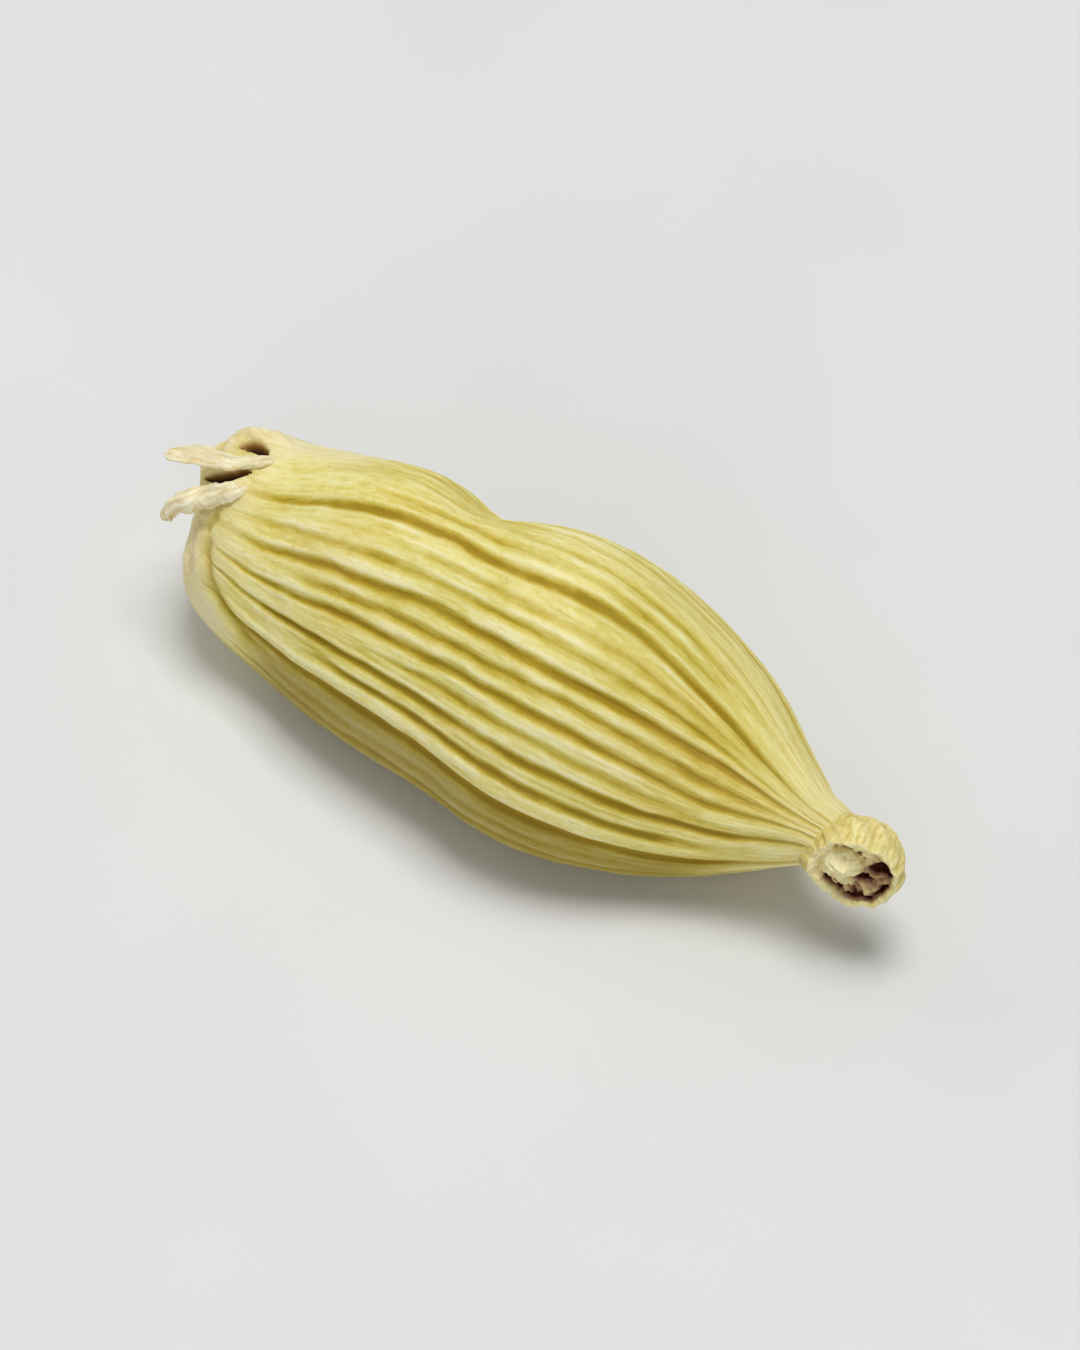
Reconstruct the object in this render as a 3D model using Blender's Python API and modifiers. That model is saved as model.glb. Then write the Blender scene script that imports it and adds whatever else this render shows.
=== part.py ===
"""Green cardamom pod: one dried three-sided seed capsule lying on its flattened side.

The pod is one grown piece: a ribbed capsule of rounded triangular section that tapers to a
neck and ends in a round cup-shaped collar, set askew. The blunt end keeps a few papery tags of
dry skin round a small hollow scar. +X runs along the pod towards the collar, +Z is up,
and the pod rests on the plane z = 0, with its origin in the middle of its footprint.
"""

import math

import bmesh
import bpy
from mathutils import Matrix, Vector

MM = 0.001

# ---- driving dimensions (millimetres and degrees) ------------------------------------------
RIBS = 42  # ribs around the capsule, a crest and a groove each
COLUMNS = 2 * RIBS
RIB_HEIGHT = 0.085  # crest above the mean skin, and the groove as far below it
TRIGONOUS = 0.080  # how three-sided the section is: 0 is round, 0.125 has sharp edges
FLAT_DEPTH = 0.11  # how much of the lowest side is pressed flat where the pod rests

# Half-width of the capsule at stations along X: blunt shoulder, long belly, taper, neck.
HALF_WIDTHS = (
    (-9.50, 1.95),
    (-9.10, 2.06),
    (-8.65, 2.20),
    (-7.90, 2.42),
    (-7.14, 2.63),
    (-6.30, 2.80),
    (-4.85, 3.10),
    (-3.40, 3.26),
    (-1.13, 3.41),
    (0.38, 3.58),
    (1.88, 3.48),
    (3.38, 3.04),
    (4.85, 2.34),
    (6.30, 1.44),
    (7.10, 0.98),
    (7.40, 0.80),
)
END_X, END_LENGTH, END_POWER = -9.50, 1.15, 2.4  # how the blunt end rounds off
END_SLANT_WIDE = 0.05  # how far the blunt end leans back, per millimetre across it
END_SLANT_OUT = 0.40  # and how far it leans towards the ribbed side
END_RISE = 0.12  # how far its tip stands towards the upper back edge
END_MARK = (-9.12, 0.136, 2.543)  # the point from which the tags and scars are placed
NECK_X, TIP_LENGTH = 7.40, 0.95
AXIS_HEIGHT = 3.23  # height of the axis at the widest station
END_HEIGHT = 2.75  # height of the axis at both ends
TWIST = 15.0  # how far the ribs turn about the axis towards the blunt end
WAIST_X, WAIST_ANGLE, WAIST_DEPTH = -2.60, 145.0, 0.46  # a shrunken dent in the back edge

# Collar: a round cup set askew on the tip of the neck, its mouth out of the ribbed side.
CUP_RADIUS = 1.07
CUP_PLACE = (1.33, 0.30)  # its centre past the neck, along X and along its lean
CUP_FACE = 75.0  # how far its mouth turns away from +X
CUP_MOUTH = 0.35  # height of the mouth's plane above its centre
HOLLOW_RADIUS, HOLLOW_DEPTH = 0.80, 0.50
PITH_RADII = (0.40, 0.30, 0.34)  # the lump of pith in the hollow

# The two directions across the pod: WIDE runs from the lower front edge to the upper back
# edge, and OUT stands square to it, out of the ribbed front side.
WIDE = Vector((0.0, 0.8232, 0.5680))
OUT = Vector((0.0, -0.5680, 0.8232))
WIDE_ANGLE = math.radians(145.4)
# The direction in which the cup leans away from +X, and the pod's own directions when it is
# turned by 35 degrees: ALONG its outline and TOWARDS the eye.
LEAN = Vector((0.0, -0.9894, 0.1450))
ALONG = Vector((0.9307, 0.2074, -0.3013))
TOWARDS = Vector((0.3660, -0.5280, 0.7660))


# ---- shape rules -----------------------------------------------------------------------------
def smooth(a, b, t):
    t = min(1.0, max(0.0, (t - a) / (b - a)))
    return t * t * (3.0 - 2.0 * t)


def curve(points, x):
    """Cubic through the points, each slope taken from its neighbours."""
    i = 0
    while i < len(points) - 2 and x > points[i + 1][0]:
        i += 1
    (x0, r0), (x1, r1) = points[i], points[i + 1]
    xa, ra = points[max(i - 1, 0)]
    xb, rb = points[min(i + 2, len(points) - 1)]
    m0 = (r1 - ra) / (x1 - xa) * (x1 - x0)
    m1 = (rb - r0) / (xb - x0) * (x1 - x0)
    t = min(1.0, max(0.0, (x - x0) / (x1 - x0)))
    return (
        (2 * t**3 - 3 * t**2 + 1) * r0
        + (t**3 - 2 * t**2 + t) * m0
        + (3 * t**2 - 2 * t**3) * r1
        + (t**3 - t**2) * m1
    )


def half_width(x):
    t = min(1.0, max(0.0, (x - END_X) / END_LENGTH))
    tip = min(1.0, max(0.0, (x - NECK_X) / TIP_LENGTH))
    wide = curve(HALF_WIDTHS, min(x, NECK_X))
    return wide * (1.0 - (1.0 - t) ** END_POWER) ** (1 / END_POWER) * math.sqrt(1 - tip**2)


def three_sided(x):
    """How three-sided the section is at x: it goes round towards both ends."""
    return TRIGONOUS * smooth(-9.4, -7.0, x) * (1.0 - smooth(4.5, 7.4, x))


def axis_point(x):
    """The axis: the lowest side stays level through the belly and rises to both ends."""
    b = three_sided(x)
    level = (1.0 - b) * half_width(x) - FLAT_DEPTH
    rise = min(1.0, smooth(2.2, 8.0, x) + smooth(-4.6, -9.5, x))
    z = level + (END_HEIGHT - level) * rise
    # seen square on to the ribbed side, the middle of the outline keeps to a straight line
    middle = -b * math.cos(3.0 * (WIDE_ANGLE - math.pi / 2)) * half_width(x)
    point = Vector((x, (middle - (z - AXIS_HEIGHT) * WIDE.z) / WIDE.y, z))
    return point + WIDE * END_RISE * smooth(-7.4, -9.2, x)


def column_angle(j):
    """Section angle of column j, with the columns evenly spaced along the skin."""
    target = 2.0 * math.pi * j / COLUMNS
    phi = target
    for _ in range(30):
        f = phi - 8.0 * TRIGONOUS / 3.0 * math.sin(3.0 * (phi - math.pi / 2)) - target
        phi -= f / (1.0 - 8.0 * TRIGONOUS * math.cos(3.0 * (phi - math.pi / 2)))
    return phi


def section(radius, b, j):
    """(forward, up, angle) of column j on a rounded triangle of constant width, one edge up."""
    k = b / TRIGONOUS
    phi = column_angle(j) * k + 2.0 * math.pi * j / COLUMNS * (1.0 - k)
    h = radius * (1.0 + b * math.cos(3.0 * (phi - math.pi / 2)))
    d = -3.0 * radius * b * math.sin(3.0 * (phi - math.pi / 2))
    return (
        h * math.cos(phi) - d * math.sin(phi),
        h * math.sin(phi) + d * math.cos(phi),
        phi,
    )


def rib_offset(x, phi, j):
    """Crest or groove, level where the pod rests and dying out towards the ends."""
    under = 0.5 + 0.5 * math.cos(phi + math.pi / 2)
    level = 1.0 - smooth(0.90, 0.985, under) * (1.0 - smooth(3.0, 5.0, abs(x + 1.0)))
    ends = smooth(-9.45, -7.6, x) * (1.0 - 0.80 * smooth(3.5, 7.3, x))
    return RIB_HEIGHT * level * ends * (1.0 if j % 2 == 0 else -1.0)


def body_point(x, j):
    radius = half_width(x)
    twist = TWIST / 360.0 * COLUMNS * smooth(-3.0, -8.5, x)
    forward, up, phi = section(radius, three_sided(x), j + twist)
    length = math.hypot(forward, up) or 1.0
    grow = rib_offset(x, phi, j)
    turn = math.remainder(phi - math.radians(WAIST_ANGLE), 2 * math.pi)
    grow -= WAIST_DEPTH * math.exp(-(((x - WAIST_X) / 1.1) ** 2) - (turn / 0.7) ** 2)
    forward, up = (v * (1.0 + grow / length) for v in (forward, up))
    point = axis_point(x) + Vector((0.0, -forward, up))
    across = point - axis_point(x)
    slant = END_SLANT_WIDE * across.dot(WIDE) + END_SLANT_OUT * across.dot(OUT)
    point.x += slant * (1.0 - smooth(-9.2, -5.5, x))
    return point


def rings():
    """X of every ring, from the blunt end's pole to the tip that the collar covers."""
    found = [END_X + d for d in (0.01, 0.04, 0.10, 0.20, 0.34, 0.54, 0.80, 1.12)]
    belly = NECK_X - END_X - 1.50
    found += [END_X + 1.50 + belly * k / 27 for k in range(28)]
    return found + [NECK_X + d for d in (0.26, 0.52, 0.74, 0.88)]


# ---- scene -----------------------------------------------------------------------------------
for old in list(bpy.data.objects):
    bpy.data.objects.remove(old, do_unlink=True)

pod_parts = bpy.data.collections.new("green_cardamom_pod")
helpers = bpy.data.collections.new("cutters")
helpers.hide_render = True
bpy.context.scene.collection.children.link(pod_parts)
bpy.context.scene.collection.children.link(helpers)


def material(name, colour, roughness):
    mat = bpy.data.materials.new(name)
    mat.use_nodes = True
    shader = mat.node_tree.nodes["Principled BSDF"]
    shader.inputs["Base Color"].default_value = (*colour, 1.0)
    shader.inputs["Roughness"].default_value = roughness
    shader.inputs["Metallic"].default_value = 0.0
    return mat


husk = material("dry_green_husk", (0.558, 0.462, 0.127), 0.62)


def new_object(name, bm, collection, helper=False):
    mesh = bpy.data.meshes.new(name)
    bm.to_mesh(mesh)
    bm.free()
    mesh.materials.append(husk)
    obj = bpy.data.objects.new(name, mesh)
    collection.objects.link(obj)
    if helper:
        obj.hide_render = True
        obj.display_type = "WIRE"
    return obj


def pod_mesh():
    """A UV sphere whose rings are carried to the pod's rings, pole to pole."""
    places = rings()
    count = len(places) + 1
    bm = bmesh.new()
    bmesh.ops.create_uvsphere(bm, u_segments=COLUMNS, v_segments=count, radius=1.0)
    for v in bm.verts:
        k = round(math.acos(max(-1.0, min(1.0, -v.co.z))) * count / math.pi)
        j = round(math.atan2(v.co.y, v.co.x) * COLUMNS / (2 * math.pi)) % COLUMNS
        if k == 0:
            point = axis_point(END_X)
        elif k == count:
            point = axis_point(NECK_X + TIP_LENGTH)
        else:
            point = body_point(places[k - 1], j)
        v.co = point * MM
    bmesh.ops.recalc_face_normals(bm, faces=bm.faces)
    return bm


def near_end(along, wide, towards):
    """A point near the blunt end's tip, by its place in the pod's outline and off it."""
    return Vector(END_MARK) + ALONG * along + WIDE * wide + TOWARDS * towards


def tag(name, path, widths, side, thickness):
    """A strip of dry skin along a path, its width lying along the direction side."""
    steps = 4 * (len(path) - 1)
    bm = bmesh.new()
    bmesh.ops.create_grid(bm, x_segments=steps, y_segments=2, size=1.0)
    for v in bm.verts:
        t = (v.co.x + 1.0) / 2.0 * (len(path) - 1)
        i = min(int(t), len(path) - 2)
        centre = Vector([curve(list(enumerate(p[k] for p in path)), t) for k in range(3)])
        width = widths[i] + (widths[i + 1] - widths[i]) * (t - i)
        v.co = (centre + side.normalized() * (v.co.y * width / 2)) * MM
    obj = new_object(name, bm, helpers, helper=True)
    shell = obj.modifiers.new("Thickness", "SOLIDIFY")
    shell.thickness = thickness * MM
    shell.offset = 0.0
    return obj


def boolean(obj, name, operation, other):
    change = obj.modifiers.new(name, "BOOLEAN")
    change.operation = operation
    change.solver = "EXACT"
    change.object = other


pod = new_object("cardamom_pod", pod_mesh(), pod_parts)

# The collar: a ball cut off at its mouth, on the neck, then hollowed, with a lump of pith.
turn = math.radians(CUP_FACE)
face = Vector((math.cos(turn), 0.0, 0.0)) + LEAN * math.sin(turn)
side = ALONG.cross(face).normalized()
cup_frame = Matrix((side.cross(face), side, face)).transposed().to_4x4()
cup_frame.translation = (
    axis_point(NECK_X) + Vector((CUP_PLACE[0], 0, 0)) + LEAN * CUP_PLACE[1]
) * MM


def ball(name, segments, start, radii, place, top=None):
    """An ellipsoid in the cup's frame, cut off level at height top. Millimetres.

    Each ball has its own segments and start angle, so no two have edges in one plane.
    """
    bm = bmesh.new()
    bmesh.ops.create_uvsphere(
        bm,
        u_segments=segments,
        v_segments=segments * 3 // 5,
        radius=1.0,
        matrix=Matrix.Rotation(math.radians(start), 4, "Z"),
    )
    for v in bm.verts:
        v.co = Vector([v.co[k] * radii[k] + place[k] for k in range(3)])
        if top is not None:
            v.co.z = min(v.co.z, top + 0.04 * math.hypot(v.co.x, v.co.y))
        v.co = cup_frame @ (v.co * MM)
    return new_object(name, bm, helpers, helper=True)


cup = ball("collar_cup", 36, 0, (CUP_RADIUS,) * 3, (0, 0, 0), CUP_MOUTH)
hollow = ball(
    "collar_hollow",
    30,
    3.7,
    (HOLLOW_RADIUS, HOLLOW_RADIUS, HOLLOW_DEPTH + 0.12),
    (0, 0, CUP_MOUTH + 0.12),
)
pith = ball("collar_pith", 20, 1.9, PITH_RADII, (0.27, 0.05, -0.02))

# The scars at the blunt end: a small round hollow between the tags, and a pit beside it.
scars = []
for number, (centre, radius) in enumerate(
    ((near_end(-0.22, 1.12, 1.15), 0.36), (near_end(0.14, 2.00, 1.05), 0.20)), start=1
):
    bm = bmesh.new()
    bmesh.ops.create_uvsphere(bm, u_segments=16, v_segments=10, radius=radius * MM)
    bmesh.ops.translate(bm, verts=bm.verts, vec=centre * MM)
    scars.append(new_object(f"scar_hollow_{number}", bm, helpers, helper=True))

# Two papery tags: a long flap and a folded lip.
tags = [
    tag(
        "tag_flap",
        [
            near_end(0.95, 1.80, 1.70),
            near_end(0.30, 1.72, 1.62),
            near_end(-0.30, 1.52, 1.42),
            near_end(-0.85, 1.32, 1.25),
            near_end(-1.36, 1.14, 1.10),
        ],
        (0.60, 0.46, 0.42, 0.44, 0.30),
        WIDE + ALONG * 0.4,
        0.18,
    ),
    tag(
        "tag_lip",
        [
            near_end(0.95, 1.35, 2.10),
            near_end(0.42, 1.20, 1.98),
            near_end(-0.07, 0.74, 1.80),
            near_end(-0.58, 0.36, 1.50),
            near_end(-0.98, 0.02, 1.22),
            near_end(-0.92, -0.24, 1.05),
        ],
        (0.95, 0.75, 0.58, 0.52, 0.36, 0.20),
        WIDE + ALONG * 0.75,
        0.26,
    ),
]
for scar in scars:
    boolean(pod, scar.name, "DIFFERENCE", scar)
boolean(pod, "Cup", "UNION", cup)
boolean(pod, "Hollow", "DIFFERENCE", hollow)
boolean(pod, "Pith", "UNION", pith)
for strip in tags:
    boolean(pod, strip.name, "UNION", strip)

# The side that the pod rests on, pressed flat on the plane z = 0.
bm = bmesh.new()
bmesh.ops.create_cube(bm, size=1.0)
bmesh.ops.scale(bm, verts=bm.verts, vec=(30 * MM, 20 * MM, 4 * MM))
bmesh.ops.translate(bm, verts=bm.verts, vec=(0.0, 0.0, -2 * MM))
slab = new_object("rest_plane", bm, helpers, helper=True)
boolean(pod, "Rest", "DIFFERENCE", slab)

# The origin goes to the middle of the footprint: the meshes move, the objects stay at zero.
bpy.context.view_layer.update()
shape = pod.evaluated_get(bpy.context.evaluated_depsgraph_get()).to_mesh()
shift = [
    -(min(v.co[k] for v in shape.vertices) + max(v.co[k] for v in shape.vertices)) / 2
    for k in range(2)
]
for obj in [pod, slab, cup, hollow, pith, *scars, *tags]:
    obj.data.transform(Matrix.Translation((*shift, 0.0)))
pod.data.shade_smooth()
pod.data.set_sharp_from_angle(angle=math.radians(20))
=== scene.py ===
"""Looks of the dried green cardamom pod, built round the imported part.

The husk is one fine mesh on the same rings as the part: grooves that wander along it, finer
streaks between them, wrinkles, pits and a flat patch underneath. The collar, its pith and the
papery tags at the blunt end are meshes of their own, rooted in the husk. Lengths are in
millimetres until a mesh is made.
"""

import math

import bpy
import numpy as np
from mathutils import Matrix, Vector


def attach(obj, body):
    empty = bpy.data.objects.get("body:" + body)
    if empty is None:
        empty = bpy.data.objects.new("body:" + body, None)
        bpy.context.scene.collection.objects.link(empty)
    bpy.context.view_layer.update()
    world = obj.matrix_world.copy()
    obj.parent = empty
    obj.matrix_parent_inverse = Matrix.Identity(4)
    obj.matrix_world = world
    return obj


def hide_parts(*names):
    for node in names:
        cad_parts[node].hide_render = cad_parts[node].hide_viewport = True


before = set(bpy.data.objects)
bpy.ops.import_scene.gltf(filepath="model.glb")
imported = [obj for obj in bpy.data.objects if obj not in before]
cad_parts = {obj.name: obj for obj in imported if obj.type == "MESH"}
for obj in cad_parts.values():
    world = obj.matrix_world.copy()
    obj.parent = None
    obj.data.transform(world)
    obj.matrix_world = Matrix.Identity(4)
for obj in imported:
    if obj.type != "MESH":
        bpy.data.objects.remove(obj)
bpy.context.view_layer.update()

MM = 0.001

# ---- the part's own dimensions, repeated ---------------------------------------------------
RIBS = 42
TRIGONOUS, FLAT_DEPTH = 0.080, 0.11
HALF_WIDTHS = np.array(
    (
        (-9.50, 1.95), (-9.10, 2.06), (-8.65, 2.20), (-7.90, 2.42), (-7.14, 2.63),
        (-6.30, 2.80), (-4.85, 3.10), (-3.40, 3.26), (-1.13, 3.41), (0.38, 3.58), (1.88, 3.48), (3.38, 3.04),
        (4.85, 2.34), (6.30, 1.44), (7.10, 0.98), (7.40, 0.80),
    )
)
END_X, END_LENGTH, END_POWER = -9.50, 1.15, 2.4
END_SLANT_WIDE, END_SLANT_OUT, END_RISE = 0.05, 0.40, 0.12
END_MARK = np.array((-9.12, 0.136, 2.543))
NECK_X, TIP_LENGTH = 7.40, 0.95
AXIS_HEIGHT, END_HEIGHT = 3.23, 2.75
TWIST = 15.0
WAIST_X, WAIST_ANGLE, WAIST_DEPTH = -2.60, math.radians(145.0), 0.46
CUP_RADIUS, CUP_MOUTH = 1.07, 0.35
CUP_PLACE, CUP_FACE = (1.33, 0.30), math.radians(75.0)
WIDE = np.array((0.0, 0.8232, 0.5680))
OUT = np.array((0.0, -0.5680, 0.8232))
WIDE_ANGLE = math.radians(145.4)
LEAN = np.array((0.0, -0.9894, 0.1450))
ALONG = np.array((0.9307, 0.2074, -0.3013))
TOWARDS = np.array((0.3660, -0.5280, 0.7660))
SHIFT = np.array((0.1215, -0.3684, 0.0))  # from the part's axis to the middle of its footprint


# ---- rules -----------------------------------------------------------------------------------
def smooth(a, b, t):
    t = np.clip((np.asarray(t, float) - a) / (b - a), 0.0, 1.0)
    return t * t * (3.0 - 2.0 * t)


def lattice(ix, iy, seed):
    """A repeatable value from -1 to 1 at each lattice point."""
    h = (ix.astype(np.int64) * 374761393 + iy.astype(np.int64) * 668265263 + seed * 97531) & 0xFFFFFFFF
    h = ((h ^ (h >> 13)) * 1274126177) & 0xFFFFFFFF
    h = h ^ (h >> 16)
    return h / 2147483647.5 - 1.0


def noise(x, y, period, seed):
    """Smooth noise from -1 to 1, repeating in y after period."""
    x, y = np.broadcast_arrays(np.asarray(x, float), np.asarray(y, float))
    ix, iy = np.floor(x), np.floor(y)
    fx, fy = x - ix, y - iy
    fx = fx * fx * fx * (fx * (fx * 6 - 15) + 10)
    fy = fy * fy * fy * (fy * (fy * 6 - 15) + 10)
    low, high = np.mod(iy, period), np.mod(iy + 1, period)
    a, b = lattice(ix, low, seed), lattice(ix + 1, low, seed)
    c, d = lattice(ix, high, seed), lattice(ix + 1, high, seed)
    return (a * (1 - fx) + b * fx) * (1 - fy) + (c * (1 - fx) + d * fx) * fy


def layers(x, y, period, seed, count):
    """Noise at count scales, each half as large and half as strong as the one before."""
    total, weight = 0.0, 0.0
    for k in range(count):
        total = total + noise(x * 2**k, y * 2**k, period * 2**k, seed + 31 * k) / 2**k
        weight += 1.0 / 2**k
    return total / weight


def curve(points, x):
    """Cubic through the points, each slope taken from its neighbours."""
    x = np.asarray(x, float)
    px, pr = points[:, 0], points[:, 1]
    i = np.clip(np.searchsorted(px, x, side="left") - 1, 0, len(px) - 2)
    x0, x1, r0, r1 = px[i], px[i + 1], pr[i], pr[i + 1]
    ia, ib = np.maximum(i - 1, 0), np.minimum(i + 2, len(px) - 1)
    m0 = (r1 - pr[ia]) / (x1 - px[ia]) * (x1 - x0)
    m1 = (pr[ib] - r0) / (px[ib] - x0) * (x1 - x0)
    t = np.clip((x - x0) / (x1 - x0), 0, 1)
    return (
        (2 * t**3 - 3 * t**2 + 1) * r0 + (t**3 - 2 * t**2 + t) * m0
        + (3 * t**2 - 2 * t**3) * r1 + (t**3 - t**2) * m1
    )


def half_width(x):
    x = np.asarray(x, float)
    t = np.clip((x - END_X) / END_LENGTH, 0, 1)
    tip = np.clip((x - NECK_X) / TIP_LENGTH, 0, 1)
    wide = curve(HALF_WIDTHS, np.minimum(x, NECK_X))
    return wide * (1.0 - (1.0 - t) ** END_POWER) ** (1.0 / END_POWER) * np.sqrt(1.0 - tip**2)


def three_sided(x):
    return TRIGONOUS * smooth(-9.4, -7.0, x) * (1.0 - smooth(4.5, 7.4, x))


def axis_point(x):
    x = np.asarray(x, float)
    b = three_sided(x)
    level = (1.0 - b) * half_width(x) - FLAT_DEPTH
    rise = np.minimum(1.0, smooth(2.2, 8.0, x) + smooth(-4.6, -9.5, x))
    z = level + (END_HEIGHT - level) * rise
    middle = -b * math.cos(3.0 * (WIDE_ANGLE - math.pi / 2)) * half_width(x)
    y = (middle - (z - AXIS_HEIGHT) * WIDE[2]) / WIDE[1]
    point = np.stack([x, y, z], -1)
    return point + WIDE * END_RISE * smooth(-7.4, -9.2, x)[..., None]


_phi = np.linspace(-2 * math.pi, 4 * math.pi, 9001)
_turn = _phi - 8.0 * TRIGONOUS / 3.0 * np.sin(3.0 * (_phi - math.pi / 2))


def body_point(x, v):
    """A point of the husk's mean skin at ring x and rib v, and its angle in the section."""
    radius, b = half_width(x), three_sided(x)
    v = v + TWIST / 360.0 * RIBS * smooth(-3.0, -8.5, x)
    k = b / TRIGONOUS
    phi = np.interp(2 * math.pi * v / RIBS, _turn, _phi) * k + 2 * math.pi * v / RIBS * (1 - k)
    h = radius * (1.0 + b * np.cos(3.0 * (phi - math.pi / 2)))
    d = -3.0 * radius * b * np.sin(3.0 * (phi - math.pi / 2))
    forward, up = h * np.cos(phi) - d * np.sin(phi), h * np.sin(phi) + d * np.cos(phi)
    length = np.maximum(np.hypot(forward, up), 1e-9)
    turn = np.arctan2(np.sin(phi - WAIST_ANGLE), np.cos(phi - WAIST_ANGLE))
    dent = -WAIST_DEPTH * np.exp(-(((x - WAIST_X) / 1.1) ** 2) - (turn / 0.7) ** 2)
    scale = 1.0 + dent / length
    across = np.stack([0 * forward, -forward * scale, up * scale], -1)
    point = axis_point(x) + across
    slant = END_SLANT_WIDE * (across @ WIDE) + END_SLANT_OUT * (across @ OUT)
    point[..., 0] += slant * (1.0 - smooth(-9.2, -5.5, x))
    return point + SHIFT, phi


def near_end(along, wide, towards):
    """A point near the blunt end's tip, by its place in the pod's outline and off it."""
    return END_MARK + SHIFT + ALONG * along + WIDE * wide + TOWARDS * towards


# ---- the husk's relief -----------------------------------------------------------------------
# Where the ribs run: the place round the pod, in ribs, of six grooves of the front side at
# stations along it, and how far the ribs of the other sides slide round towards the blunt end.
# The ribs between them spread and close with them.
STATIONS = np.array((-8.2, -7.3, -6.3, -5.1, -3.8, -2.5, -1.2, 0.4, 1.8, 3.1, 4.2, 5.2, 6.2, 7.4))
PATHS = {
    -0.5: (-1.0, -1.5, -1.2, -0.5, 0.1, 0.2, 0.0, -0.3, -0.6, -1.0, -1.5, -1.9, -2.4, -2.9),
    2.2: (0.8, 0.6, 1.0, 1.7, 2.3, 2.5, 2.4, 2.3, 2.1, 1.9, 1.7, 1.7, 2.0, 2.6),
    4.4: (1.9, 1.9, 2.4, 3.3, 4.1, 4.3, 4.4, 4.4, 4.4, 4.2, 4.0, 3.8, 4.2, 4.9),
    6.4: (3.5, 3.8, 4.4, 5.3, 6.0, 6.4, 6.5, 6.4, 6.4, 6.5, 6.6, 6.7, 6.9, 7.0),
    7.5: (4.9, 5.2, 5.8, 6.5, 7.2, 7.5, 7.6, 7.5, 7.5, 7.7, 7.7, 7.7, 7.8, 7.8),
    9.7: (6.5, 6.7, 7.5, 8.6, 9.5, 9.7, 9.6, 9.6, 9.8, 9.8, 9.6, 9.4, 9.5, 9.3),
}
SLIDES = ((16.0, -2.2), (22.0, -1.4), (30.0, -0.9), (37.0, -0.7))

# Grooves of the front side: rib place, depth, half-width in ribs, and where each begins and ends.
GROOVES = [
    (15.3, 0.050, 0.24, -7.0, 5.0),
    (14.3, 0.035, 0.22, -5.0, 4.0),
    (13.0, 0.030, 0.22, -3.0, 5.0),
    (11.8, 0.040, 0.22, -1.5, 5.5),
    (10.7, 0.050, 0.22, -4.0, 4.5),
    (9.7, 0.130, 0.26, -99, 99),
    (8.4, 0.045, 0.20, -3.0, 5.6),
    (7.5, 0.070, 0.21, -99, 99),
    (6.4, 0.135, 0.24, -99, 99),
    (5.4, 0.095, 0.22, -5.4, 99),
    (4.4, 0.125, 0.24, -99, 99),
    (3.3, 0.075, 0.21, -2.2, 4.4),
    (2.2, 0.140, 0.24, -99, 99),
    (1.0, 0.130, 0.23, -4.2, 4.9),
    (-0.5, 0.200, 0.30, -99, 99),
    (-1.7, 0.050, 0.24, -6.0, 4.0),
    (-2.7, 0.075, 0.26, -7.0, 5.0),
    (-3.7, 0.110, 0.28, -99, 99),
]
rng = np.random.default_rng(4201)
place, turn = 16.5, 0
while place < RIBS - 4.6:
    strong = turn % 2 == 0
    start, stop = (-99, 99) if strong else (rng.uniform(-7.5, -3.5), rng.uniform(3.5, 6.0))
    deep = rng.uniform(0.11, 0.16) if strong else rng.uniform(0.04, 0.09)
    GROOVES.append((place, deep, rng.uniform(0.22, 0.28), start, stop))
    place += rng.uniform(0.85, 1.30)
    turn += 1


def wrapped(d):
    return (d + RIBS / 2) % RIBS - RIBS / 2


def rib_place(x, v):
    """The rib number at ring x and column v: it stays the same along a groove."""
    rows = np.clip(x[:, 0], STATIONS[0], STATIONS[-1])
    tracks = [curve(np.stack([STATIONS, path], -1), rows) for path in PATHS.values()]
    tracks += [place + slide * smooth(-3.5, -8.2, rows) for place, slide in SLIDES]
    places = [*PATHS, *(place for place, slide in SLIDES)]
    tracks, places = np.stack([*tracks, tracks[0] + RIBS], -1), np.array([*places, places[0] + RIBS])
    out = np.empty(v.shape)
    for k in range(len(rows)):
        out[k] = np.interp(np.mod(v[k] - tracks[k, 0], RIBS) + tracks[k, 0], tracks[k], places)
    return out


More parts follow.
